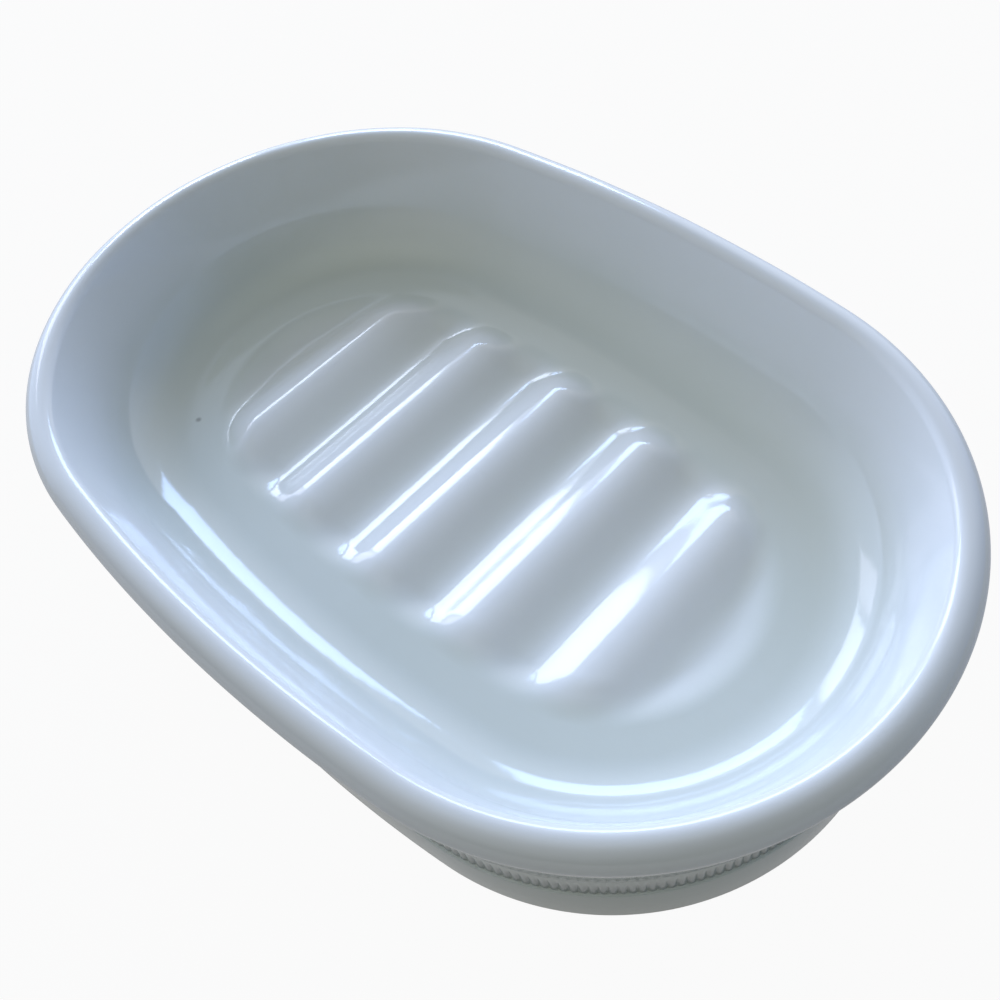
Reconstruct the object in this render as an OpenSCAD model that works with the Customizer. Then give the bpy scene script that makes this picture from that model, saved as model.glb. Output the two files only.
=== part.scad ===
// Oval soap dish in glazed ceramic: a rolled lip, a leaning wall, a floor with a field of
// rounded ribs, a band of fine reeds round the base and a foot ring.
// Frame: origin under the middle of the dish on the plane it stands on, +X along the length,
// +Y across the width, +Z up. Lengths in millimetres, angles in degrees.

/* [Outline] */
// Length over the lip
dish_l = 140; // [110:1:180]
// Width over the lip
dish_w = 93; // [80:1:105]
// Height from the table to the top of the lip
dish_h = 38; // [34:0.5:50]
// Radius of the end arcs as a share of half the width, 1 giving straight sides
end_radius_share = 0.965; // [0.8:0.005:0.985]

/* [Lip and wall] */
// Thickness of the rolled lip
lip_t = 4.6; // [4.5:0.1:8]
// Radius of the lip's outer side, its inner side taking the rest of the thickness
lip_out_r = 2.9; // [1.5:0.1:3.5]
// Depth of the bowl from the top of the lip to the shelf round the ribs
bowl_depth = 17.5; // [13:0.5:20]
// Lean of the inner wall from upright
wall_lean = 20; // [6:1:22]
// Radius of the hollow between the inner wall and the shelf
well_r = 11; // [4:0.5:11]
// Thickness of the skirt wall that stands on the foot ring
skirt_t = 7; // [4:0.5:8]
// Thickness of the floor under the shelf
floor_t = 6; // [5:0.5:8]
// Radius of the hollow under the floor, where it meets the skirt
under_r = 4; // [1:0.5:5]

/* [Ribbed floor] */
// Width of the smooth shelf between the hollow and the ribbed field
shelf_w = 3.8; // [2:0.1:7]
// Number of ribs
rib_count = 5; // [3:2:7]
// Distance from one rib to the next
rib_pitch = 16.8; // [10:0.1:19]
// Height of the ribs above the shelf
rib_rise = 1.3; // [0.6:0.1:4]
// Depth of the valleys below the shelf
valley_dip = 1.1; // [0.6:0.1:3]
// Width over which ribs and valleys run out at the edge of the field
run_out = 6; // [3:0.1:8]

/* [Reeded band] */
// Height of the band of reeds
band_h = 5; // [3:0.5:10]
// Thickness of the band at the crown of a reed
band_t = 1.2; // [0.8:0.1:2]
// Width of one reed, rounded to fit a whole number in each stretch of the oval
reed_w = 1.4; // [1.2:0.1:3]
// Depth of the grooves between reeds
groove_d = 0.4; // [0.2:0.05:0.6]

/* [Foot ring] */
// Height of the foot ring
foot_h = 9.4; // [3:0.1:11]
// Distance at the sides from the lip's edge in to the foot's face
foot_inset = 3.6; // [2:0.1:7]
// How much further in the foot lies at the two ends than at the sides
foot_tuck = 1.7; // [0:0.1:3]
// Step from the foot's face in to the reeds, and radius of its rounded shoulder
foot_step = 0.3; // [0.2:0.1:1.5]
// Rounding of the two edges that the foot stands on
foot_edge_r = 0.6; // [0.3:0.1:1]

/* [Hidden] */

// Points along each end arc and each side arc of the oval
END_STEPS = 34;
SIDE_STEPS = 14;
// Points along the round stretches of the profiles
LIP_STEPS = 6;
WELL_STEPS = 7;
SHOULDER_STEPS = 4;
EDGE_STEPS = 2;
// Columns of the ribbed field in half its length, and rows in half its width
FIELD_COLS = 42;
FIELD_ROWS = 8;
// Points on one reed
REED_POINTS = 4;

GLAZE = [0.93, 0.95, 0.97];
REED_GLAZE = [0.84, 0.87, 0.88];
BISQUE = [0.86, 0.85, 0.82];

// Largest rounding of the hollow under the floor, as a share of its height above the foot
hollow_share = 0.8;

// The oval has four centres: two on the length for the end arcs, two on the width for the sides.
half_l = dish_l / 2;
half_w = dish_w / 2;
end_r = end_radius_share * half_w;

// Distance of an end arc's centre from the middle, with the ends moved in by a tuck
function end_c(tuck) = half_l - end_r - tuck;

// Radius of a side arc that is tangent to such ends, and its centre's distance from the middle
function side_r(tuck) = (pow(end_c(tuck), 2) + half_w * half_w - end_r * end_r) / (2 * (half_w - end_r));
function side_c(tuck) = side_r(tuck) - half_w;

// Half the angle of such an end arc
function end_a(tuck) = atan2(side_c(tuck), end_c(tuck));

// Lip, wall and floor, given as insets from the oval and heights above the table
lip_in_r = lip_t - lip_out_r;
lip_out_z = dish_h - lip_out_r;
lip_in_z = dish_h - lip_in_r;
shelf_z = dish_h - bowl_depth;
under_z = shelf_z - floor_t;
neck_in = foot_inset + foot_step;
seat_in = neck_in + band_t;
skirt_in = neck_in + skirt_t;
band_z = foot_h + band_h;
under_fillet = min(under_r, hollow_share * (under_z - foot_h));

// The outer wall is straight and tangent to the lip, and this is its lean at the sides
lip_up = [lip_out_r - neck_in, lip_out_z - band_z];
outer_lean = asin(lip_out_r / norm(lip_up)) - atan2(lip_up.x, lip_up.y);

// The hollow inside is tangent to the leaning wall and to the shelf
well_z = shelf_z + well_r;
well_in = lip_out_r + (lip_in_r + well_r + (lip_in_z - well_z) * sin(wall_lean)) / cos(wall_lean);
field_in = well_in + shelf_w;

// Points of an arc round centre c, from angle a0 to angle a1 in n steps
function arc(c, r, a0, a1, n) =
    [for (i = [0:n]) let (a = a0 + (a1 - a0) * i / n) c + r * [cos(a), sin(a)]];

// A list without its first point, where the stretch before it ends there too
function after_first(points) = [for (i = [1:len(points) - 1]) points[i]];

// Centre, radius, direction, half angle and number of points of the four arcs of the oval at an
// inset, with the ends moved in by a tuck, anticlockwise from +X
function arcs_at(inset, tuck) = [
    for (turn = [0, 180], side = [0, 1])
        let (dir = turn + 90 * side, reach = side == 0 ? end_c(tuck) : -side_c(tuck))
        [reach * [cos(dir), sin(dir)], (side == 0 ? end_r : side_r(tuck)) - inset, dir,
            side == 0 ? end_a(tuck) : 90 - end_a(tuck), side == 0 ? END_STEPS : SIDE_STEPS]];

// That oval as points
function oval(inset, tuck) = [
    for (s = arcs_at(inset, tuck), i = [0:s[4] - 1])
        let (a = s[2] + s[3] * (2 * i / s[4] - 1))
        s[0] + s[1] * [cos(a), sin(a)]];

// Half the width of the oval at an inset, at a distance x along the length
function half_chord(x, inset) =
    let (on_end = abs(x) > end_c(0) + (end_r - inset) * cos(end_a(0)))
    on_end
        ? sqrt(pow(end_r - inset, 2) - pow(abs(x) - end_c(0), 2))
        : sqrt(pow(side_r(0) - inset, 2) - x * x) - side_c(0);

// Distance from a point inside the oval at an inset out to that oval
function depth_in(x, y, inset) =
    let (on_end = side_c(0) * (abs(x) - end_c(0)) > end_c(0) * abs(y))
    on_end
        ? end_r - inset - norm([abs(x) - end_c(0), y])
        : side_r(0) - inset - norm([x, abs(y) + side_c(0)]);

// A stretch of profile, a list of [inset, height], with the ends moved in by a tuck
function tucked(points, tuck) = [for (p = points) [p.x, p.y, tuck]];

// Sweeps a closed profile of [inset, height, tuck], which runs up the outside first, round the oval
module swept_oval(profile) {
    around = len(oval(0, 0));
    up = len(profile);
    function at(i, j) = (i % up) * around + j % around;
    polyhedron(
        [for (p = profile, q = oval(p.x, p.z)) [q.x, q.y, p.y]],
        [for (i = [0:up - 1], j = [0:around - 1]) each [
            [at(i, j), at(i + 1, j), at(i + 1, j + 1)],
            [at(i, j), at(i + 1, j + 1), at(i, j + 1)]]]);
}

// Outer wall, lip, inner wall, shelf and skirt in one closed outline
bowl_profile = concat(
    tucked([[seat_in, foot_h], [seat_in, band_z], [neck_in, band_z]], foot_tuck),
    tucked(concat(
        [[lip_out_r, lip_out_z] - lip_out_r * [cos(outer_lean), sin(outer_lean)]],
        arc([lip_out_r, lip_out_z], lip_out_r, 180, 90, LIP_STEPS),
        after_first(arc([lip_out_r, lip_in_z], lip_in_r, 90, wall_lean, LIP_STEPS)),
        arc([well_in, well_z], well_r, 180 + wall_lean, 270, WELL_STEPS),
        [[field_in, shelf_z], [field_in, under_z]]), 0),
    tucked(concat(
        arc([skirt_in + under_fillet, under_z - under_fillet], under_fillet, 90, 180, SHOULDER_STEPS),
        [[skirt_in, foot_h]]), foot_tuck));

module bowl() {
    color(GLAZE) swept_oval(bowl_profile);
}

// Height of the ribbed field: a wave along the length that fades into the shelf at the edge.
// Past the last valley the wave stays down, so that the ends are crescents.
function field_z(x, y) =
    let (
        wave = cos(360 * min(abs(x), rib_count / 2 * rib_pitch) / rib_pitch + 180 * (rib_count - 1)),
        t = min(max(depth_in(x, y, field_in) / run_out, 0), 1),
        fade = t * t * (3 - 2 * t))
    shelf_z + fade * ((rib_rise - valley_dip) + (rib_rise + valley_dip) * wave) / 2;

// The floor between the shelf's edges: its top follows field_z on a grid of columns across
// the dish, closer together towards the edge, and its underside is flat
module ribbed_floor() {
    cols = 2 * FIELD_COLS;
    rows = 2 * FIELD_ROWS;
    field_l = half_l - field_in;
    stations = [for (i = [0:cols - 1]) field_l * sin(90 * ((i + 0.5) / FIELD_COLS - 1))];
    top = [
        for (x = stations, j = [0:rows])
            let (y = half_chord(x, field_in) * sin(90 * (j / FIELD_ROWS - 1)))
            [x, y, field_z(x, y)]];
    base = [for (x = stations, side = [-1, 1]) [x, side * half_chord(x, field_in), under_z]];
    // Numbers of a point of the top, and of the near and far points under a column
    function at(i, j) = i * (rows + 1) + j;
    function under(i, far) = len(top) + 2 * i + far;
    last = cols - 1;
    color(GLAZE) polyhedron(
        concat(top, base),
        concat(
            [for (i = [0:last - 1], j = [0:rows - 1]) each [
                [at(i, j), at(i, j + 1), at(i + 1, j + 1)],
                [at(i, j), at(i + 1, j + 1), at(i + 1, j)]]],
            [for (i = [0:last - 1]) each [
                [under(i, 0), under(i + 1, 0), under(i + 1, 1), under(i, 1)],
                [under(i, 0), at(i, 0), at(i + 1, 0), under(i + 1, 0)],
                [under(i, 1), under(i + 1, 1), at(i + 1, rows), at(i, rows)]]],
            [concat([under(0, 0)], [under(0, 1)], [for (j = [rows:-1:0]) at(0, j)])],
            [concat([under(last, 1)], [under(last, 0)], [for (j = [0:rows]) at(last, j)])]));
}

// The band's outer edge: rounded reeds with a sharp groove between each pair
function reeds() = [
    for (s = arcs_at(neck_in, foot_tuck))
        let (n = round(s[1] * 2 * s[3] * PI / 180 / reed_w))
        for (i = [0:n * REED_POINTS - 1])
            let (
                a = s[2] + s[3] * (2 * i / (n * REED_POINTS) - 1),
                crown = abs(sin(180 * i / REED_POINTS)))
            s[0] + (s[1] - groove_d * (1 - crown)) * [cos(a), sin(a)]];

module reeded_band() {
    color(REED_GLAZE)
        translate([0, 0, foot_h])
            linear_extrude(band_h)
                difference() {
                    polygon(reeds());
                    polygon(oval(seat_in, foot_tuck));
                }
}

// A small rounded shoulder under the reeds and a flat land to stand on
foot_profile = tucked(concat(
    arc([foot_inset + foot_edge_r, foot_edge_r], foot_edge_r, 270, 180, EDGE_STEPS),
    arc([neck_in, foot_h - foot_step], foot_step, 180, 90, SHOULDER_STEPS),
    [[skirt_in, foot_h]],
    arc([skirt_in - foot_edge_r, foot_edge_r], foot_edge_r, 0, -90, EDGE_STEPS)), foot_tuck);

module foot_ring() {
    color(BISQUE) swept_oval(foot_profile);
}

bowl();
ribbed_floor();
reeded_band();
foot_ring();
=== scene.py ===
"""Oval soap dish in white glazed ceramic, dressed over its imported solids.

The dish is one fired piece in four parts: the bowl with its rolled lip, the floor with its field of
rounded drain ribs, the band of fine reeds round the base, and the foot ring with its bare land.
Every surface is a function of two parameters on a grid, or a profile carried round the oval, worked
out as whole arrays. Lengths are metres in the frame of the solids: origin under the middle of the
dish, +X along its length, +Z up.
"""

from __future__ import annotations

import logging
import math
from dataclasses import dataclass
from enum import Enum
from typing import Any

import bpy
import numpy as np
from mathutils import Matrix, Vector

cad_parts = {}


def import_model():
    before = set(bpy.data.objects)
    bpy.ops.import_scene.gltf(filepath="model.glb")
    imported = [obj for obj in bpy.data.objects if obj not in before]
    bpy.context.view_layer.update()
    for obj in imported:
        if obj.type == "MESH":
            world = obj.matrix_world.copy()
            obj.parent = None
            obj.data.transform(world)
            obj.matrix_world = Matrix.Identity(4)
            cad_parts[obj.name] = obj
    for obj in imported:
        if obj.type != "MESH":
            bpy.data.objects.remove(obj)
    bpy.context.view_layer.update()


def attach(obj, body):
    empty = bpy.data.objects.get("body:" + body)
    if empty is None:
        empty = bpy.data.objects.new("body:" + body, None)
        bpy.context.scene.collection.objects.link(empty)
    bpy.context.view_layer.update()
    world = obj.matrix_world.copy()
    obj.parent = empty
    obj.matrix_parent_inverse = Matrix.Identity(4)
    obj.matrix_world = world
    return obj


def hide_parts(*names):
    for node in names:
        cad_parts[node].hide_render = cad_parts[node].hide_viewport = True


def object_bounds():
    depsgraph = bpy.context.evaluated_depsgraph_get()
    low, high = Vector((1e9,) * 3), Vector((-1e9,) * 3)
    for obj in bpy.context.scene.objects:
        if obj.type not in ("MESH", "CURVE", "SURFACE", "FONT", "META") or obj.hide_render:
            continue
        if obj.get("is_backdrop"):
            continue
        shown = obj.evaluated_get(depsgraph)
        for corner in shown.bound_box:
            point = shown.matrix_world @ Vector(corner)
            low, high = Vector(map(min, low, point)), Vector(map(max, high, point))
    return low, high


Array = np.ndarray
Colour = tuple[float, float, float]
Point = tuple[float, float, float]
Span = tuple[float, float]

MM = 0.001
TAU = 2 * math.pi
LOG = logging.getLogger("soap_dish")

# Which of the oval's four arcs are side arcs: +X end, +Y side, -X end, -Y side
SIDES = np.array([False, True, False, True])

# How thick the glaze lies on the shelf, and at the neck, where two pieces meet, how thick it lies with
# painted shade added: 0 thin, 1 pooled
SHELF_POOL = 0.85
NECK_POOL_AND_SHADE = 0.95

# Where a dot's soft edge begins and ends, in radii: for scattered dots and for a marked one
DOT_EDGE = (0.5, 1.4)
MARK_EDGE = (0.2, 1.6)

# Share of the scattered dots that have their full strength
FULL_DOTS = 0.8

# Waves of the glaze's unevenness: direction, length and start
SWELLS = (
    ((0.62, 0.55, 0.56), 11 * MM, 0.0),
    ((-0.48, 0.76, 0.44), 17 * MM, 1.3),
    ((0.81, -0.33, 0.49), 29 * MM, 2.1),
)


def smooth_step(low: float, high: float, value: Array) -> Array:
    """Ease from 0 to 1 as a value goes from low to high.

    With t the value's share of the way, held between 0 and 1, the result is 3 t squared less
    2 t cubed.

    Args:
        low: Value at which the result leaves 0.
        high: Value at which the result reaches 1.
        value: The values to ease.

    Returns:
        An array like value, from 0 to 1.
    """
    share = np.clip((value - low) / (high - low), 0.0, 1.0)
    return share * share * (3.0 - 2.0 * share)


@dataclass(frozen=True)
class Oval:
    """A four-centre oval: two end arcs centred on its length, two side arcs on its width."""

    half_length: float
    half_width: float
    end_share: float

    @property
    def end_radius(self) -> float:
        """Radius of the two end arcs."""
        return self.end_share * self.half_width

    @property
    def end_centre(self) -> float:
        """Distance of an end arc's centre from the middle."""
        return self.half_length - self.end_radius

    def arc_sizes(self, side: Array, tuck: Array = 0.0) -> tuple[Array, Array, Array]:
        """Give the arcs of the oval, or of a shorter one with the same width and end arcs.

        The end arcs move in by the tuck. The side arcs meet them in a tangent: their radius is the
        square of the end centre's distance plus that of the half width less that of the end's
        radius, over twice what the half width has more than the end's radius.

        Args:
            side: Whether each arc wanted is a side arc.
            tuck: How far the ends move in.

        Returns:
            The reach of the arc's centre along its own direction, its radius and its half angle.
        """
        reach = self.end_centre - tuck
        gap = self.half_width - self.end_radius
        side_radius = (reach**2 + self.half_width**2 - self.end_radius**2) / (2 * gap)
        side_centre = side_radius - self.half_width
        end_angle = np.arctan2(side_centre, reach)
        return (
            np.where(side, -side_centre, reach),
            np.where(side, side_radius, self.end_radius),
            np.where(side, math.pi / 2 - end_angle, end_angle),
        )

    def lap(self, step: float) -> Array:
        """Spread places evenly over one lap.

        A place is the number of its arc plus its share of the way along that arc.

        Args:
            step: Wanted distance between neighbours at no inset.

        Returns:
            Places from 0 up to, but without, 4.
        """
        _, radius, half = self.arc_sizes(SIDES)
        counts = np.ceil(2 * half * radius / step).astype(int)
        return np.concatenate([k + np.arange(n) / n for k, n in enumerate(counts)])

    def at(self, place: Array, inset: Array, tuck: Array = 0.0) -> tuple[Array, Array]:
        """Find the points of the oval at places and insets.

        The point is the arc's centre plus, along the direction that the place gives, the arc's
        radius less the inset.

        Args:
            place: Places on the lap.
            inset: Distances in from the oval, of a shape that goes with place.
            tuck: How much further in the ends are, of a shape that goes with place.

        Returns:
            The X and the Y of the points.
        """
        arc = np.floor(place).astype(int) % 4
        reach, radius, half = self.arc_sizes(arc % 2 == 1, tuck)
        facing = arc * math.pi / 2
        angle = facing + half * (2 * (place - np.floor(place)) - 1)
        x = reach * np.cos(facing) + (radius - inset) * np.cos(angle)
        y = reach * np.sin(facing) + (radius - inset) * np.sin(angle)
        return x, y

    def depth(self, x: Array, y: Array) -> Array:
        """Measure how far points inside lie from the oval.

        Where the point is nearer an end, that is the end's radius less the distance to its centre,
        and otherwise the side's radius less the distance to the side's centre.

        Args:
            x: X of the points.
            y: Y of the points.

        Returns:
            The distances.
        """
        reach, radius, _ = self.arc_sizes(SIDES)
        ends = -reach[1] * (np.abs(x) - reach[0]) > reach[0] * np.abs(y)
        to_end = radius[0] - np.hypot(np.abs(x) - reach[0], y)
        to_side = radius[1] - np.hypot(x, np.abs(y) - reach[1])
        return np.where(ends, to_end, to_side)


@dataclass(frozen=True)
class DishSizes:
    """The sizes that the parts of the dish share, those of its solids.

    Attributes:
        length: Length over all.
        width: Width over all.
        height: Height over all.
        end_share: Radius of the lip's end arcs over half the width.
        lip_t: Thickness of the lip.
        lip_out_r: Radius of the lip's outer side.
        bowl_depth: Depth of the shelf under the lip's top.
        wall_lean: Lean of the inner wall from upright, in radians.
        well_r: Radius of the hollow between wall and shelf.
        skirt_t: Thickness of the skirt, reeds and all.
        floor_t: Thickness of the floor under the shelf.
        under_r: Radius of the corner where the skirt meets the floor's underside.
        shelf_w: Width of the level shelf.
        band_h: Height of the reeded band.
        band_t: Thickness of the reeded band.
        foot_h: Height of the foot.
        foot_inset: Inset of the foot's outer face from the lip's outline.
        foot_tuck: How much further in the foot's ends are than its sides.
        foot_step: Radius of the foot's ledge, by which the reeds stand back from its face.
    """

    length: float
    width: float
    height: float
    end_share: float = 0.965
    lip_t: float = 4.6 * MM
    lip_out_r: float = 2.9 * MM
    bowl_depth: float = 17.5 * MM
    wall_lean: float = math.radians(20)
    well_r: float = 11.0 * MM
    skirt_t: float = 7.0 * MM
    floor_t: float = 6.0 * MM
    under_r: float = 4.0 * MM
    shelf_w: float = 3.8 * MM
    band_h: float = 5.0 * MM
    band_t: float = 1.2 * MM
    foot_h: float = 9.4 * MM
    foot_inset: float = 3.6 * MM
    foot_tuck: float = 1.7 * MM
    foot_step: float = 0.3 * MM

    @classmethod
    def from_frame(cls) -> DishSizes:
        """Take the overall length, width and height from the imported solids."""
        low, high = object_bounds()
        return cls(high[0] - low[0], high[1] - low[1], high[2] - low[2])

    @property
    def oval(self) -> Oval:
        """The outline of the lip."""
        return Oval(self.length / 2, self.width / 2, self.end_share)

    @property
    def lip_in_r(self) -> float:
        """Radius of the lip's inner side."""
        return self.lip_t - self.lip_out_r

    @property
    def lip_out_z(self) -> float:
        """Height of the centre of the lip's outer side."""
        return self.height - self.lip_out_r

    @property
    def lip_in_z(self) -> float:
        """Height of the centre of the lip's inner side."""
        return self.height - self.lip_in_r

    @property
    def shelf_z(self) -> float:
        """Height of the shelf round the ribs."""
        return self.height - self.bowl_depth

    @property
    def under_z(self) -> float:
        """Height of the floor's underside."""
        return self.shelf_z - self.floor_t

    @property
    def neck_in(self) -> float:
        """Inset of the reeds' crowns, where the outer wall starts."""
        return self.foot_inset + self.foot_step

    @property
    def seat_in(self) -> float:
        """Inset of the wall that the reeded band lies on."""
        return self.neck_in + self.band_t

    @property
    def skirt_in(self) -> float:
        """Inset of the inner face of the skirt and of the foot ring."""
        return self.neck_in + self.skirt_t

    @property
    def band_z(self) -> float:
        """Height of the top of the reeded band."""
        return self.foot_h + self.band_h

    @property
    def outer_lean(self) -> float:
        """Lean of the outer wall, which runs straight from the neck to a tangent of the lip."""
        run, rise = self.neck_in - self.lip_out_r, self.lip_out_z - self.band_z
        return math.asin(self.lip_out_r / math.hypot(run, rise)) + math.atan2(run, rise)

    @property
    def well_z(self) -> float:
        """Height of the centre of the hollow between wall and shelf."""
        return self.shelf_z + self.well_r

    @property
    def well_in(self) -> float:
        """Inset of that centre, which makes the hollow tangent to the leaning wall.

        It is the inset of the lip's centres plus, over the cosine of the lean, the sum of the radii of
        the lip's inner side and the hollow and of the sine of the lean times the centres' difference
        in height.

        Returns:
            The inset.
        """
        lean = self.wall_lean
        slant = self.lip_in_r + self.well_r + (self.lip_in_z - self.well_z) * math.sin(lean)
        return self.lip_out_r + slant / math.cos(lean)

    @property
    def field_in(self) -> float:
        """Inset of the edge of the ribbed field."""
        return self.well_in + self.shelf_w


def turn(
    centre_in: float, centre_z: float, radius: float, start: float, end: float, step: float
) -> Array:
    """Draw a round stretch of a profile.

    The point at angle a is the centre plus the radius times the cosine of a inwards and the sine
    of a upwards, with a going evenly from start to end.

    Args:
        centre_in: Inset of the centre.
        centre_z: Height of the centre.
        radius: Radius.
        start: First angle in degrees, 0 pointing inwards and 90 up.
        end: Last angle in degrees.
        step: Wanted distance between points.

    Returns:
        Rows of inset and height.
    """
    count = max(3, math.ceil(abs(math.radians(end - start)) * radius / step) + 1)
    angle = np.radians(np.linspace(start, end, count))
    return np.stack([centre_in + radius * np.cos(angle), centre_z + radius * np.sin(angle)], 1)


def straight(start: Span, end: Span, step: float) -> Array:
    """Draw a straight stretch of a profile: points evenly spread between two.

    Args:
        start: Inset and height of the first point.
        end: Inset and height of the last point.
        step: Wanted distance between points.

    Returns:
        Rows of inset and height.
    """
    count = max(2, math.ceil(math.dist(start, end) / step) + 1)
    return np.linspace(start, end, count)


def joined(stretches: list[Array]) -> Array:
    """String stretches into one closed profile and leave out points that repeat.

    Args:
        stretches: Rows of inset and height, in order.

    Returns:
        The rows of all of them, each point once.
    """
    rows = np.concatenate(stretches)
    gap = np.linalg.norm(rows - np.roll(rows, 1, axis=0), axis=1)
    least_gap = 0.01 * MM
    return rows[gap > least_gap]


def ripple(x: Array, y: Array, z: Array, height: float) -> Array:
    """Give the slow unevenness of a poured glaze.

    It is the mean of the sines of the swells, whose waves run in different directions and differ in
    length, so that the lines where they agree never repeat on the dish.

    Args:
        x: X of the points.
        y: Y of the points.
        z: Z of the points.
        height: Height of the unevenness from the mean.

    Returns:
        How far the glaze stands out at each point.
    """
    waves = [
        np.sin(TAU * (x * along_x + y * along_y + z * along_z) / length + start)
        for (along_x, along_y, along_z), length, start in SWELLS
    ]
    return height * sum(waves) / len(waves)


class Wrap(Enum):
    """How the two directions of a grid close."""

    RING = "round one way"
    TUBE = "round both ways"


def grid_faces(rows: int, columns: int, wrap: Wrap) -> Array:
    """Number the quads of a grid whose columns close into rings.

    Args:
        rows: Number of rows.
        columns: Number of columns.
        wrap: Whether the last row joins the first as well.

    Returns:
        Rows of four vertex numbers.
    """
    last = rows if wrap is Wrap.TUBE else rows - 1
    i, j = np.meshgrid(np.arange(last), np.arange(columns), indexing="ij")
    up, on = (i + 1) % rows, (j + 1) % columns
    corners = [i * columns + j, up * columns + j, up * columns + on, i * columns + on]
    return np.stack([c.ravel() for c in corners], 1)


def make_piece(
    name: str, points: Array, faces: Array, caps: Array | None = None, crease: float = 40.0
) -> bpy.types.Object:
    """Put arrays into a mesh object at the origin.

    Args:
        name: Name of the piece.
        points: Rows of X, Y and Z.
        faces: Rows of four vertex numbers.
        caps: Rows of three vertex numbers, where the grid closes in a pole.
        crease: Angle in degrees above which an edge stays sharp.

    Returns:
        The new object, smooth but for its creases.
    """
    caps = np.zeros((0, 3), int) if caps is None else caps
    mesh = bpy.data.meshes.new(name)
    loops = np.concatenate([faces.ravel(), caps.ravel()]).astype(np.int32)
    sizes = np.concatenate([np.full(len(faces), 4), np.full(len(caps), 3)])
    starts = np.concatenate([[0], np.cumsum(sizes)[:-1]]).astype(np.int32)
    mesh.vertices.add(len(points))
    mesh.vertices.foreach_set("co", points.astype(np.float32).ravel())
    mesh.loops.add(len(loops))
    mesh.loops.foreach_set("vertex_index", loops)
    mesh.polygons.add(len(sizes))
    mesh.polygons.foreach_set("loop_start", starts)
    mesh.update(calc_edges=True)
    mesh.validate()
    mesh.shade_smooth()
    mesh.set_sharp_from_angle(angle=math.radians(crease))
    piece = bpy.data.objects.new(name, mesh)
    bpy.context.scene.collection.objects.link(piece)
    return piece


def paint(piece: bpy.types.Object, name: str, values: Array) -> None:
    """Keep one number for each vertex of a piece under a name that its material reads.

    Args:
        piece: The piece.
        name: Name of the attribute.
        values: One number for each vertex.
    """
    layer = piece.data.attributes.new(name, "FLOAT", "POINT")
    layer.data.foreach_set("value", values.astype(np.float32).ravel())


class Num:
    """A number inside a material, on which Python's sums add Math nodes."""

    def __init__(self, bench: Bench, socket: Any) -> None:
        """Wrap a socket that carries a number."""
        self.bench = bench
        self.socket = socket

    def _with(self, operation: str, first: Any, second: Any) -> Num:
        """Add a Math node on two numbers, either of which may be a plain one."""
        node = self.bench.add("ShaderNodeMath", {"operation": operation}, {0: first, 1: second})
        return Num(self.bench, node.outputs[0])

    def __add__(self, other: Any) -> Num:
        """Sum."""
        return self._with("ADD", self, other)

    def __radd__(self, other: Any) -> Num:
        """Sum with a plain number first."""
        return self._with("ADD", other, self)

    def __sub__(self, other: Any) -> Num:
        """Difference."""
        return self._with("SUBTRACT", self, other)

    def __rsub__(self, other: Any) -> Num:
        """Difference with a plain number first."""
        return self._with("SUBTRACT", other, self)

    def __mul__(self, other: Any) -> Num:
        """Product."""
        return self._with("MULTIPLY", self, other)

    def __rmul__(self, other: Any) -> Num:
        """Product with a plain number first."""
        return self._with("MULTIPLY", other, self)

    def __truediv__(self, other: Any) -> Num:
        """Quotient."""
        return self._with("DIVIDE", self, other)

    def largest(self, other: Any) -> Num:
        """The larger of two numbers."""
        return self._with("MAXIMUM", self, other)

    def eased(self, low: float, high: float) -> Num:
        """Go smoothly from 0 at low to 1 at high.

        Args:
            low: Where the result leaves 0.
            high: Where the result reaches 1.

        Returns:
            The eased number.
        """
        node = self.bench.add(
            "ShaderNodeMapRange",
            {"interpolation_type": "SMOOTHSTEP"},
            {"Value": self, "From Min": low, "From Max": high, "To Min": 0.0, "To Max": 1.0},
        )
        return Num(self.bench, node.outputs["Result"])


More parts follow.
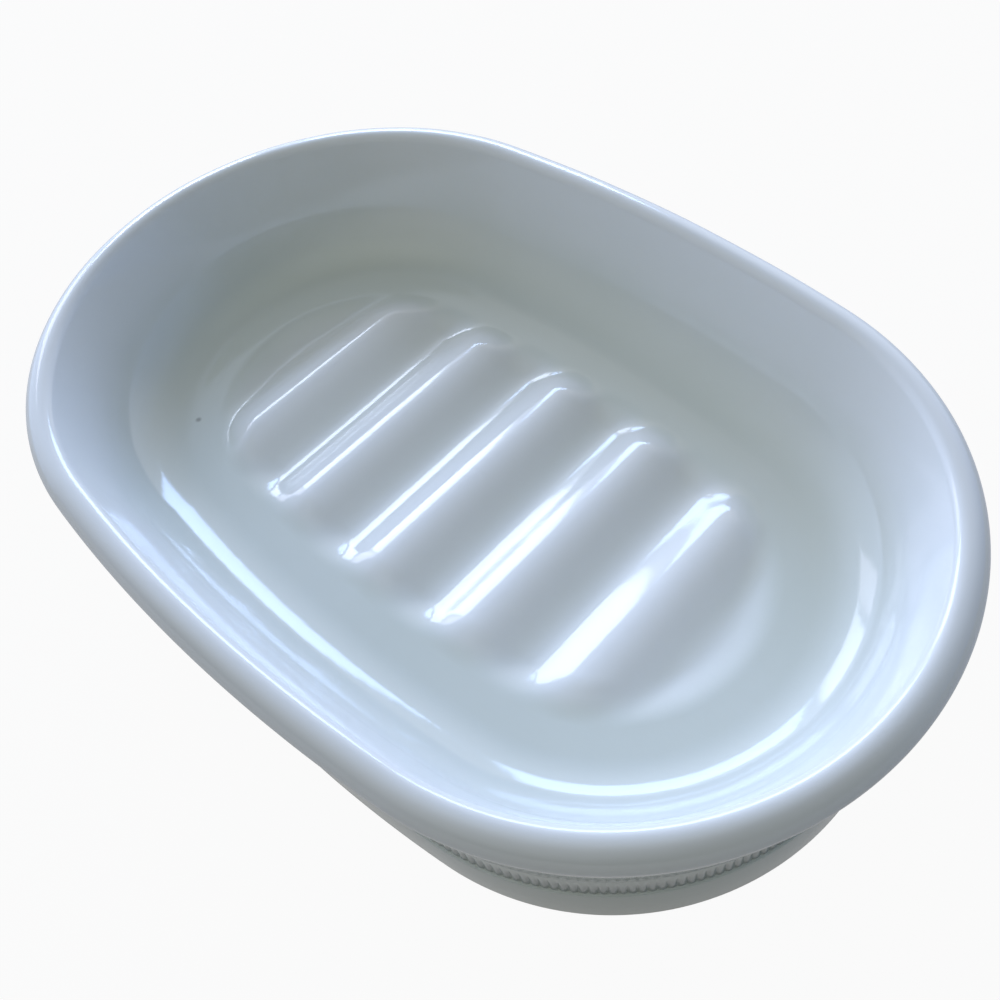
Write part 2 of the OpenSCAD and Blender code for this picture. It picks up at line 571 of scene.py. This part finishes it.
class Bench:
    """The node tree of one material or world, with the few ways in which nodes are added."""

    def __init__(self, owner: bpy.types.Material | bpy.types.World) -> None:
        """Empty the node tree of a new material or world.

        Args:
            owner: The material or world.
        """
        self.owner = owner
        owner.use_nodes = True
        self.tree = owner.node_tree
        self.tree.nodes.clear()

    def add(
        self, kind: str, settings: dict[str, Any] | None = None, inputs: dict[Any, Any] | None = None
    ) -> Any:
        """Add a node.

        Args:
            kind: The node's type.
            settings: Its settings by name, set before its sockets.
            inputs: Values or links of its input sockets, by name or number.

        Returns:
            The node.
        """
        node = self.tree.nodes.new(kind)
        for key, value in (settings or {}).items():
            setattr(node, key, value)
        for key, value in (inputs or {}).items():
            source = value.socket if isinstance(value, Num) else value
            if isinstance(source, bpy.types.NodeSocket):
                self.tree.links.new(source, node.inputs[key])
            else:
                node.inputs[key].default_value = source
        return node

    def place(self) -> Any:
        """Coordinates of the piece's own points."""
        return self.add("ShaderNodeTexCoord").outputs["Object"]

    def outward(self) -> Any:
        """Direction in which a ray leaves, in a world."""
        return self.add("ShaderNodeTexCoord").outputs["Generated"]

    def heights(self) -> Num:
        """Height above the table."""
        node = self.add("ShaderNodeSeparateXYZ", inputs={0: self.place()})
        return Num(self, node.outputs["Z"])

    def painted(self, name: str) -> Num:
        """A number painted on the piece's vertices."""
        node = self.add("ShaderNodeAttribute", {"attribute_name": name})
        return Num(self, node.outputs["Fac"])

    def noise(self, size: float, detail: float, roughness: float = 0.5) -> Num:
        """Soft noise from 0 to 1.

        Args:
            size: Rough distance from one swell to the next, in metres.
            detail: Number of finer layers.
            roughness: Strength of each finer layer.

        Returns:
            The noise.
        """
        inputs = {"Vector": self.place(), "Scale": 1 / size, "Detail": detail, "Roughness": roughness}
        node = self.add("ShaderNodeTexNoise", {"noise_dimensions": "3D"}, inputs)
        return Num(self, node.outputs["Fac"])

    def dots(self, size: float, radius: float, share: float) -> Num:
        """Scattered dots with soft edges: 1 inside a dot and 0 between.

        Args:
            size: Distance between the places where a dot may be.
            radius: Radius of a dot.
            share: Share of those places that have one.

        Returns:
            The mask.
        """
        settings = {"voronoi_dimensions": "3D", "feature": "F1"}
        inputs = {"Vector": self.place(), "Scale": 1 / size, "Randomness": 1.0}
        node = self.add("ShaderNodeTexVoronoi", settings, inputs)
        pick = self.add("ShaderNodeSeparateColor", inputs={0: node.outputs["Color"]})
        chosen = Num(self, pick.outputs[0]).eased(1 - share, 1 - FULL_DOTS * share)
        fades, gone = (edge * radius / size for edge in DOT_EDGE)
        near = 1 - Num(self, node.outputs["Distance"]).eased(fades, gone)
        return near * chosen

    def near_point(self, centre: Point, radius: float) -> Num:
        """One dot with a soft edge at a given point: 1 inside and 0 outside.

        Args:
            centre: Middle of the dot.
            radius: Radius of the dot.

        Returns:
            The mask.
        """
        node = self.add(
            "ShaderNodeVectorMath", {"operation": "DISTANCE"}, {0: self.place(), 1: centre}
        )
        fades, gone = (edge * radius for edge in MARK_EDGE)
        return 1 - Num(self, node.outputs["Value"]).eased(fades, gone)

    def mixed(self, first: Any, second: Any, share: Any) -> Any:
        """Blend two colours.

        The node's colour sockets go by number, as its other kinds of sockets have the same names.

        Args:
            first: Colour or link at a share of 0.
            second: Colour or link at a share of 1.
            share: How much of the second there is.

        Returns:
            The socket of the blended colour.
        """
        ready = [(*c, 1.0) if isinstance(c, tuple) else c for c in (first, second)]
        node = self.add("ShaderNodeMix", {"data_type": "RGBA"}, {0: share, 6: ready[0], 7: ready[1]})
        return node.outputs[2]

    def bumped(self, height: Num, distance: float) -> Any:
        """Tilt the surface by a height.

        Args:
            height: The height, in units of the distance.
            distance: How far a height of 1 stands out, in metres.

        Returns:
            The socket of the tilted direction.
        """
        inputs = {"Strength": 1.0, "Distance": distance, "Height": height}
        return self.add("ShaderNodeBump", inputs=inputs).outputs["Normal"]

    def finished(self, inputs: dict[str, Any]) -> Any:
        """End a material in one surface shader.

        Args:
            inputs: Values or links of the shader's sockets, by name.

        Returns:
            The material.
        """
        surface = self.add("ShaderNodeBsdfPrincipled", inputs=inputs)
        self.add("ShaderNodeOutputMaterial", inputs={"Surface": surface.outputs[0]})
        return self.owner


@dataclass(frozen=True)
class Glaze:
    """White gloss glaze: clear in thin places, greener and darker where it pools, darkest where
    painted shade is laid on, with pinholes.
    """

    thin: Colour = (0.83, 0.845, 0.845)
    full: Colour = (0.80, 0.82, 0.815)
    pooled: Colour = (0.685, 0.725, 0.68)
    # The next tint, and the last of the spans, are painted shade laid on the reeded band and its
    # grooves, not a colour of the glaze.
    painted_groove_shade: Colour = (0.45, 0.475, 0.46)
    full_over: Span = (-0.1, 0.35)
    pooled_over: Span = (0.3, 1.0)
    painted_groove_shade_over: Span = (0.95, 1.5)
    pinhole: Colour = (0.20, 0.19, 0.17)
    pinhole_strength: float = 0.62
    pinhole_gap: float = 9 * MM
    pinhole_radius: float = 0.12 * MM
    pinhole_share: float = 0.09
    marked_pinhole: Point = (-42.8 * MM, -19.2 * MM, 20.5 * MM)
    marked_radius: float = 0.42 * MM
    cloud_size: float = 22 * MM
    cloudiness: float = 0.35
    roughness: float = 0.07
    wear_size: float = 14 * MM
    wear: float = 0.05
    refraction: float = 1.52
    peel: float = 0.012 * MM
    peel_size: float = 2.2 * MM
    grain_size: float = 0.5 * MM
    grain_share: float = 0.25

    def colour(self, bench: Bench) -> Any:
        """Tint the glaze by how thick it lies and by how much painted shade lies on it, cloud it
        slowly and dot it with pinholes.

        Each tint after the first takes over between the two levels of its span; the last tint is
        painted shade.

        Args:
            bench: Where the material is built.

        Returns:
            The socket of the colour.
        """
        cloud = bench.noise(self.cloud_size, detail=3.0) - 0.5
        # The painted number is the glaze's thickness, with painted shade added at the neck, on the
        # reeded band and at the foot.
        pooling_and_shade = bench.painted("pool_and_shade") + self.cloudiness * cloud
        body = bench.mixed(self.thin, self.full, pooling_and_shade.eased(*self.full_over))
        body = bench.mixed(body, self.pooled, pooling_and_shade.eased(*self.pooled_over))
        # Painted shade: the darkest tint, where the painted number runs past pooled glaze.
        body = bench.mixed(body, self.painted_groove_shade, pooling_and_shade.eased(*self.painted_groove_shade_over))
        holes = bench.dots(self.pinhole_gap, self.pinhole_radius, self.pinhole_share)
        holes = holes.largest(bench.near_point(self.marked_pinhole, self.marked_radius))
        return bench.mixed(body, self.pinhole, self.pinhole_strength * holes)

    def worn(self, bench: Bench) -> Num:
        """How much rougher the glaze is where it is worn."""
        return self.wear * bench.noise(self.wear_size, detail=4.0, roughness=0.6)

    def orange_peel(self, bench: Bench) -> Num:
        """Broad swells of the fired surface."""
        return bench.noise(self.peel_size, detail=1.0)

    def make(self, name: str) -> bpy.types.Material:
        """Build the material, with a fine grain on its orange peel.

        Args:
            name: Name of the material.

        Returns:
            The material.
        """
        bench = Bench(bpy.data.materials.new(name))
        swells = self.orange_peel(bench)
        height = swells + self.grain_share * bench.noise(self.grain_size, detail=1.0)
        return bench.finished({
            "Base Color": self.colour(bench),
            "Roughness": self.roughness + self.worn(bench),
            "IOR": self.refraction,
            "Normal": bench.bumped(height, self.peel),
        })


@dataclass(frozen=True)
class FootFinish:
    """The glaze of the foot, wiped off the land it stands on, where the bare body shows."""

    glaze: Glaze
    bare: Colour = (0.71, 0.67, 0.60)
    grit: Colour = (0.50, 0.46, 0.40)
    grit_over: Span = (0.45, 0.8)
    grit_size: float = 0.35 * MM
    grit_height: float = 0.03 * MM
    bare_roughness: float = 0.82
    glazed_roughness: float = 0.10
    wiped_to: float = 0.55 * MM
    wiped_edge: float = 0.12 * MM
    waver: float = 0.5 * MM
    waver_size: float = 3 * MM
    peel_share: float = 0.4

    def make(self, name: str) -> bpy.types.Material:
        """Build the material: gritty body below a wavering edge, and glaze above it.

        Args:
            name: Name of the material.

        Returns:
            The material.
        """
        bench = Bench(bpy.data.materials.new(name))
        edge = bench.heights() + self.waver * (bench.noise(self.waver_size, detail=3.0) - 0.5)
        covered = edge.eased(self.wiped_to, self.wiped_to + self.wiped_edge)
        grain = bench.noise(self.grit_size, detail=3.0, roughness=0.7)
        body = bench.mixed(self.bare, self.grit, grain.eased(*self.grit_over))
        smoother = self.bare_roughness - self.glazed_roughness - self.glaze.worn(bench)
        height = grain * (1 - covered) + self.peel_share * self.glaze.orange_peel(bench)
        return bench.finished({
            "Base Color": bench.mixed(body, self.glaze.colour(bench), covered),
            "Roughness": self.bare_roughness - smoother * covered,
            "IOR": self.glaze.refraction,
            "Normal": bench.bumped(height, self.grit_height),
        })


@dataclass
class Bowl:
    """The bowl: skirt, hollow outer wall, rolled lip, leaning inner wall, hollow and shelf."""

    sizes: DishSizes
    step: float = 0.75 * MM
    round_step: float = 0.3 * MM
    shelf_step: float = 0.6 * MM
    under_step: float = 0.7 * MM
    wall_step: float = 1.2 * MM
    hidden_step: float = 3 * MM
    unevenness: float = 0.035 * MM
    tuck_power: float = 1.25
    pool_rise: float = 1.6

    def profile(self) -> Array:
        """Draw the section, up the outside first.

        Returns:
            Rows of inset and height, closed.
        """
        s = self.sizes
        outer, lean = math.degrees(s.outer_lean), math.degrees(s.wall_lean)
        fine, coarse = self.round_step, self.hidden_step
        side, down = 1 - math.cos(s.outer_lean), math.sin(s.outer_lean)
        touch = (s.lip_out_r * side, s.lip_out_z - s.lip_out_r * down)
        under_z = s.under_z - s.under_r
        return joined([
            straight((s.seat_in, s.foot_h), (s.seat_in, s.band_z), coarse),
            straight((s.neck_in, s.band_z), touch, self.wall_step),
            turn(s.lip_out_r, s.lip_out_z, s.lip_out_r, 180 + outer, 90, fine),
            turn(s.lip_out_r, s.lip_in_z, s.lip_in_r, 90, lean, fine),
            turn(s.well_in, s.well_z, s.well_r, 180 + lean, 270, fine),
            straight((s.well_in, s.shelf_z), (s.field_in, s.shelf_z), self.shelf_step),
            straight((s.field_in, s.shelf_z), (s.field_in, s.under_z), coarse),
            turn(s.skirt_in + s.under_r, under_z, s.under_r, 90, 180, self.under_step),
            straight((s.skirt_in, under_z), (s.skirt_in, s.foot_h), coarse),
        ])

    def tuck(self, inset: Array, height: Array) -> Array:
        """Find how far the ends move in at points of the profile.

        On the outer wall it grows from nothing at the lip's middle down to all of it at the neck. The
        inner face of the skirt has all of it too, and the lip's inside, wall and floor none.

        Args:
            inset: Insets of the points.
            height: Their heights.

        Returns:
            The ends' further inset.
        """
        s = self.sizes
        down = np.clip((s.lip_out_z - height) / (s.lip_out_z - s.band_z), 0, 1)
        outer_wall = np.where(inset < s.seat_in, down**self.tuck_power, 0.0)
        skirt = (inset < s.skirt_in + s.under_r) & (height < s.under_z)
        return s.foot_tuck * np.where(skirt & (inset > s.neck_in), 1.0, outer_wall)

    def build(self) -> bpy.types.Object:
        """Carry the profile round the oval and lay the glaze's unevenness on it.

        The unevenness is whole at the lip and runs out inwards to the skirt's inner face and down to
        the shelf's height. The glaze pools in the hollow, and the outer wall darkens towards the neck
        with pooled glaze and painted shade.

        Returns:
            The piece.
        """
        s = self.sizes
        rows = self.profile()
        place = s.oval.lap(self.step)
        tuck = self.tuck(rows[:, :1], rows[:, 1:])
        x, y = s.oval.at(place[None, :], rows[:, :1], tuck)
        z = np.broadcast_to(rows[:, 1:], x.shape).copy()
        above = smooth_step(s.shelf_z, s.lip_in_z, rows[:, 1:])
        inside = smooth_step(s.skirt_in, s.lip_out_r, rows[:, :1]) * above
        z += ripple(x, y, z, self.unevenness) * inside
        points = np.stack([x.ravel(), y.ravel(), z.ravel()], 1)
        piece = make_piece("bowl_shell", points, grid_faces(*x.shape, Wrap.TUBE))
        deep = 1 - smooth_step(s.shelf_z, s.shelf_z + self.pool_rise * s.well_r, z)
        # Painted shade: the outer wall darkens towards the neck to meet the shaded reeded band.
        low = 1 - smooth_step(s.band_z, s.lip_out_z, z)
        outer = smooth_step(s.skirt_in, s.seat_in, rows[:, :1]) * low
        paint(piece, "pool_and_shade", np.maximum(SHELF_POOL * deep, NECK_POOL_AND_SHADE * outer))
        return piece


@dataclass
class RibbedFloor:
    """The floor inside the shelf: rounded ribs across the dish, run out at the field's edge."""

    sizes: DishSizes
    ribs: int = 5
    pitch: float = 16.8 * MM
    rise: float = 1.3 * MM
    dip: float = 1.1 * MM
    run_out: float = 6.0 * MM
    step: float = 0.75 * MM
    rings: int = 72
    crowding: float = 1.25
    valley_pool: float = 0.55

    def risen(self, x: Array, y: Array) -> Array:
        """Share of their full height that the ribs have, 0 where the field meets the shelf."""
        return smooth_step(0.0, self.run_out, self.sizes.oval.depth(x, y) - self.sizes.field_in)

    def height(self, x: Array, y: Array) -> Array:
        """Give the height of the top.

        A cosine of the ribs' pitch runs along the length, with a rib in the middle, and stays down
        past the last valley. It is scaled to go from the valleys to the crests, and eased to
        nothing where the field meets the shelf.

        Args:
            x: X of the points.
            y: Y of the points.

        Returns:
            Heights above the table.
        """
        reach = np.minimum(np.abs(x), self.ribs / 2 * self.pitch)
        wave = np.cos(TAU * reach / self.pitch)
        swell = ((self.rise - self.dip) + (self.rise + self.dip) * wave) / 2
        return self.sizes.shelf_z + self.risen(x, y) * swell

    def build(self) -> bpy.types.Object:
        """Shrink the field's edge to the middle in rings, lift them, and close the underside.

        A point of a ring is the edge's point times the ring's share, and the shares fall from 1 to
        nearly 0, closer together at the edge. The last ring closes in a pole.

        Returns:
            The piece.
        """
        s = self.sizes
        place = s.oval.lap(self.step)
        edge_x, edge_y = s.oval.at(place, np.full(place.shape, s.field_in))
        share = 1 - np.linspace(0, 1, self.rings, endpoint=False) ** self.crowding
        x, y = share[:, None] * edge_x, share[:, None] * edge_y
        top = self.height(x, y)
        under = np.full((1, len(place)), s.under_z)
        xs = np.concatenate([edge_x[None], x])
        ys = np.concatenate([edge_y[None], y])
        zs = np.concatenate([under, top])
        points = np.stack([xs.ravel(), ys.ravel(), zs.ravel()], 1)
        crown = [0.0, 0.0, float(self.height(np.zeros(1), np.zeros(1))[0])]
        points = np.concatenate([points, [crown, [0.0, 0.0, s.under_z]]])
        rows, columns = xs.shape
        here = np.arange(columns)
        on = (here + 1) % columns
        last = (rows - 1) * columns
        caps = np.concatenate([
            np.stack([last + here, np.full(columns, len(points) - 2), last + on], 1),
            np.stack([here, on, np.full(columns, len(points) - 1)], 1),
        ])
        piece = make_piece("rib_field", points, grid_faces(rows, columns, Wrap.RING), caps)
        low = smooth_step(s.shelf_z + self.rise, s.shelf_z - self.dip, points[:, 2])
        risen = self.risen(points[:, 0], points[:, 1])
        paint(piece, "pool_and_shade", SHELF_POOL * (1 - risen) + self.valley_pool * low * risen)
        return piece


@dataclass
class ReededBand:
    """The band of fine upright reeds between the foot and the outer wall."""

    sizes: DishSizes
    reed_w: float = 1.22 * MM
    groove: float = 0.18 * MM
    full_share: float = 0.35
    per_reed: int = 8
    rows: int = 18
    # How much painted shade is added towards the foot and in the grooves, on top of the glaze pooled
    # at the neck.
    painted_shade_to_foot: float = 0.6
    painted_shade_in_grooves: float = 0.35

    def build(self) -> bpy.types.Object:
        """Shape the reeds and close the band behind them.

        Along each arc the face lies at the band's own inset plus the groove's depth times one less
        the size of a sine, which has a half wave for each reed. Upwards the grooves fade into the
        plain wall over the band's upper part.

        Returns:
            The piece.
        """
        s = self.sizes
        _, radius, half = s.oval.arc_sizes(SIDES, s.foot_tuck)
        counts = np.round(2 * half * (radius - s.neck_in) / self.reed_w).astype(int)
        place = np.concatenate([
            k + np.arange(n * self.per_reed) / (n * self.per_reed) for k, n in enumerate(counts)
        ])
        reeds = np.abs(np.sin(math.pi * (place % 1) * counts[np.floor(place).astype(int)]))
        z = np.linspace(s.foot_h, s.band_z, self.rows)[:, None]
        fade = 1 - smooth_step(s.foot_h + self.full_share * s.band_h, s.band_z, z)
        cut = self.groove * fade * (1 - reeds[None, :])
        x, y = s.oval.at(place[None, :], s.neck_in + cut, s.foot_tuck)
        back_x, back_y = s.oval.at(place[None, :], np.full((2, 1), s.seat_in), s.foot_tuck)
        back_z = np.array([[s.band_z], [s.foot_h]])
        xs, ys = np.concatenate([x, back_x]), np.concatenate([y, back_y])
        zs = np.concatenate([np.broadcast_to(z, x.shape), np.broadcast_to(back_z, back_x.shape)])
        points = np.stack([xs.ravel(), ys.ravel(), zs.ravel()], 1)
        piece = make_piece("reeds", points, grid_faces(*xs.shape, Wrap.TUBE), crease=60.0)
        # Painted shade: the band darkens towards the foot and in its grooves, past pooled glaze into
        # the darkest tint.
        thick = np.concatenate([cut / self.groove, np.zeros(back_x.shape)])
        low = 1 - smooth_step(s.foot_h, s.band_z, zs)
        paint(piece, "pool_and_shade", NECK_POOL_AND_SHADE + self.painted_shade_to_foot * low + self.painted_shade_in_grooves * thick)
        return piece


@dataclass
class FootRing:
    """The foot: a rounded shoulder under the reeds and a flat land to stand on."""

    sizes: DishSizes
    edge_r: float = 0.6 * MM
    step: float = 0.75 * MM
    edge_step: float = 0.15 * MM
    ledge_step: float = 0.1 * MM
    land_step: float = 1.2 * MM
    hidden_step: float = 2 * MM
    # The glaze tint from the top of the foot down to the land; the lower end reaches into painted
    # shade.
    high_pool: float = 0.85
    low_pool_and_shade: float = 1.0

    def build(self) -> bpy.types.Object:
        """Carry the foot's section round the oval.

        The section goes up the outer face from the land's rounded edge to the ledge, in along the top,
        down the inner face and back along the land.

        Returns:
            The piece.
        """
        s = self.sizes
        outer, inner = s.foot_inset + self.edge_r, s.skirt_in - self.edge_r
        rows = joined([
            turn(outer, self.edge_r, self.edge_r, 270, 180, self.edge_step),
            turn(s.neck_in, s.foot_h - s.foot_step, s.foot_step, 180, 90, self.ledge_step),
            straight((s.neck_in, s.foot_h), (s.skirt_in, s.foot_h), self.hidden_step),
            turn(inner, self.edge_r, self.edge_r, 0, -90, self.edge_step),
            straight((inner, 0.0), (outer, 0.0), self.land_step),
        ])
        place = s.oval.lap(self.step)
        x, y = s.oval.at(place[None, :], rows[:, :1], s.foot_tuck)
        z = np.broadcast_to(rows[:, 1:], x.shape)
        points = np.stack([x.ravel(), y.ravel(), z.ravel()], 1)
        piece = make_piece("foot", points, grid_faces(*x.shape, Wrap.TUBE))
        # Darker towards the land: pooled glaze, and at its darkest a little painted shade.
        low = 1 - smooth_step(0.0, s.foot_h, z)
        paint(piece, "pool_and_shade", self.high_pool + (self.low_pool_and_shade - self.high_pool) * low)
        return piece


@dataclass
class Dish:
    """The whole dish: builds its four parts, dresses them and ties them to their solids."""

    sizes: DishSizes

    def build(self) -> None:
        """Build the parts in order and report each."""
        glaze = Glaze()
        gloss = glaze.make("white_glaze")
        foot_gloss = FootFinish(glaze).make("foot_finish")
        parts = [
            (Bowl(self.sizes).build(), "bowl", "glaze", gloss),
            (RibbedFloor(self.sizes).build(), "ribbed_floor", "glaze", gloss),
            (ReededBand(self.sizes).build(), "reeded_band", "glaze", gloss),
            (FootRing(self.sizes).build(), "foot_ring", "foot_glaze", foot_gloss),
        ]
        for piece, node, slot, material in parts:
            piece.data.materials.append(material)
            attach(piece, "root")
            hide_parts(node)
            LOG.info("%s: %d faces, for %s", piece.name, len(piece.data.polygons), node)


def towards(around: float, up: float) -> Point:
    """Give the direction at an angle from +X towards +Y and an angle above the table.

    Args:
        around: Degrees from +X towards +Y.
        up: Degrees above the table.

    Returns:
        The direction, of length 1.
    """
    turned, raised = math.radians(around), math.radians(up)
    flat = math.cos(raised)
    return (flat * math.cos(turned), flat * math.sin(turned), math.sin(raised))


@dataclass(frozen=True)
class Pane:
    """One pane of the low window, by the directions in degrees between which the dish sees it."""

    name: str
    right: float
    left: float
    radiance: Colour
    low: float
    high: float

    @property
    def middle(self) -> tuple[float, float]:
        """Degrees round and up to the pane's middle."""
        return (self.left + self.right) / 2, (self.low + self.high) / 2


@dataclass(frozen=True)
class Glow:
    """A soft bright part of the room, by its middle, its radiance there and its reach in degrees."""

    around: float
    up: float
    radiance: Colour
    faded: float = 53.0


@dataclass
class Studio:
    """Floor, daylight and camera of the photograph, with the camera's turn in degrees."""

    panes: tuple[Pane, ...] = (
        Pane("pane_right", 123.0, 150.5, (4.5, 6.6, 11.4), 16.0, 32.0),
        Pane("pane_middle", 154.5, 168.5, (5.3, 6.1, 7.5), 15.0, 34.0),
        Pane("pane_left", 171.0, 182.5, (3.0, 3.1, 3.8), 15.0, 35.0),
    )
    glows: tuple[Glow, ...] = (
        Glow(120.0, 12.0, (1.20, 1.19, 1.16)),
        Glow(180.0, 12.0, (1.12, 1.36, 1.90)),
        Glow(60.0, 12.0, (0.37, 0.52, 0.90)),
        Glow(0.0, 12.0, (0.15, 0.16, 0.10)),
        Glow(270.0, 48.0, (0.57, 0.59, 0.60)),
        Glow(0.0, 90.0, (0.29, 0.31, 0.20), 36.9),
    )
    pane_distance: float = 1.2
    floor_shown: float = 0.95
    floor_mirrored: float = 0.40
    floor_colour: Colour = (0.34, 0.34, 0.34)
    floor_half: float = 1.5
    floor_drop: float = 0.02 * MM
    camera_at: Point = (77.18 * MM, -53.38 * MM, 141.19 * MM)
    camera_turn: Point = (34.192, 5.343, 41.757)
    film: float = 36.0
    lens: float = 37.825
    shift_x: float = -0.05275
    shift_y: float = 0.02337
    nearest: float = 10 * MM

    def build(self) -> None:
        """Set the stage."""
        self.set_world()
        self.lay_floor()
        for pane in self.panes:
            self.hang(pane)
        self.place_camera()
        bpy.context.scene.view_settings.view_transform = "Standard"

    def floor_seen(self, bench: Bench) -> Num:
        """Share of plain white in the floor: for camera rays, and for mirrored or passing ones.

        Args:
            bench: Where the floor's material is built.

        Returns:
            The share.
        """
        rays = bench.add("ShaderNodeLightPath")
        shown = self.floor_shown * Num(bench, rays.outputs["Is Camera Ray"])
        passing = Num(bench, rays.outputs["Is Transmission Ray"])
        mirrored = Num(bench, rays.outputs["Is Glossy Ray"]).largest(passing)
        return shown.largest(self.floor_mirrored * mirrored)

    def set_world(self) -> None:
        """Light the room by its glows, and show it as white.

        Each glow's radiance is scaled by a share that rises smoothly with the cosine of the angle
        to the glow's middle, from 0 where it has faded to 1, and all of them are summed.
        """
        world = bpy.data.worlds.new("room")
        bpy.context.scene.world = world
        bench = Bench(world)
        total: Any = (0.0, 0.0, 0.0)
        for glow in self.glows:
            sides = {0: bench.outward(), 1: towards(glow.around, glow.up)}
            along = bench.add("ShaderNodeVectorMath", {"operation": "DOT_PRODUCT"}, sides)
            share = Num(bench, along.outputs["Value"]).eased(math.cos(math.radians(glow.faded)), 1.0)
            parts = {0: glow.radiance, 1: share, 2: total}
            total = bench.add("ShaderNodeVectorMath", {"operation": "MULTIPLY_ADD"}, parts).outputs[0]
        room = bench.add("ShaderNodeBackground", inputs={"Color": total, "Strength": 1.0})
        white = bench.add("ShaderNodeBackground", inputs={"Color": (1, 1, 1, 1), "Strength": 1.0})
        seen = bench.add("ShaderNodeLightPath").outputs["Is Camera Ray"]
        blend = {0: seen, 1: room.outputs[0], 2: white.outputs[0]}
        shown = bench.add("ShaderNodeMixShader", inputs=blend)
        bench.add("ShaderNodeOutputWorld", inputs={"Surface": shown.outputs[0]})

    def lay_floor(self) -> None:
        """Lay a pale floor that shows white and keeps the dish's shadow."""
        turns = np.array([[-1, -1], [1, -1], [1, 1], [-1, 1]])
        corners = np.column_stack([self.floor_half * turns, np.full(len(turns), -self.floor_drop)])
        floor = make_piece("table", corners, np.array([[0, 1, 2, 3]]))
        bench = Bench(bpy.data.materials.new("table_white"))
        cloth = bench.add("ShaderNodeBsdfDiffuse", inputs={"Color": (*self.floor_colour, 1.0)})
        glow = bench.add("ShaderNodeEmission", inputs={"Color": (1, 1, 1, 1), "Strength": 1.0})
        blend = {0: self.floor_seen(bench), 1: cloth.outputs[0], 2: glow.outputs[0]}
        mix = bench.add("ShaderNodeMixShader", inputs=blend)
        bench.add("ShaderNodeOutputMaterial", inputs={"Surface": mix.outputs[0]})
        floor.data.materials.append(bench.owner)
        floor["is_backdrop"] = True

    def hang(self, pane: Pane) -> None:
        """Hang a pane at its distance as a flat light that faces the dish.

        Its power is its highest radiance times pi times its area, and its colour the radiance over
        that highest one.

        Args:
            pane: The pane.
        """
        distance = self.pane_distance
        around, up = pane.middle
        wide, tall = (math.radians(a) for a in (pane.left - pane.right, pane.high - pane.low))
        data = bpy.data.lights.new(pane.name, "AREA")
        data.shape = "RECTANGLE"
        data.size = 2 * distance * math.cos(math.radians(up)) * math.tan(wide / 2)
        data.size_y = 2 * distance * math.tan(tall / 2)
        data.energy = max(pane.radiance) * math.pi * data.size * data.size_y
        data.color = tuple(level / max(pane.radiance) for level in pane.radiance)
        lamp = bpy.data.objects.new(pane.name, data)
        bpy.context.scene.collection.objects.link(lamp)
        lamp.location = tuple(distance * a for a in towards(around, up))
        lamp.rotation_euler = (math.radians(90.0 - up), 0.0, math.radians(around + 90.0))

    def place_camera(self) -> None:
        """Stand the camera where the photograph was taken."""
        data = bpy.data.cameras.new("photo_camera")
        data.sensor_width = self.film
        data.lens = self.lens
        data.shift_x, data.shift_y = self.shift_x, self.shift_y
        data.clip_start = self.nearest
        camera = bpy.data.objects.new("photo_camera", data)
        bpy.context.scene.collection.objects.link(camera)
        camera.location = self.camera_at
        camera.rotation_euler = tuple(math.radians(a) for a in self.camera_turn)
        bpy.context.scene.camera = camera


def main() -> None:
    """Load the solids, dress the dish and set the stage."""
    logging.basicConfig(level=logging.INFO, format="%(name)s: %(message)s")
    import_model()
    Dish(DishSizes.from_frame()).build()
    Studio().build()


if __name__ == "__main__":
    main()
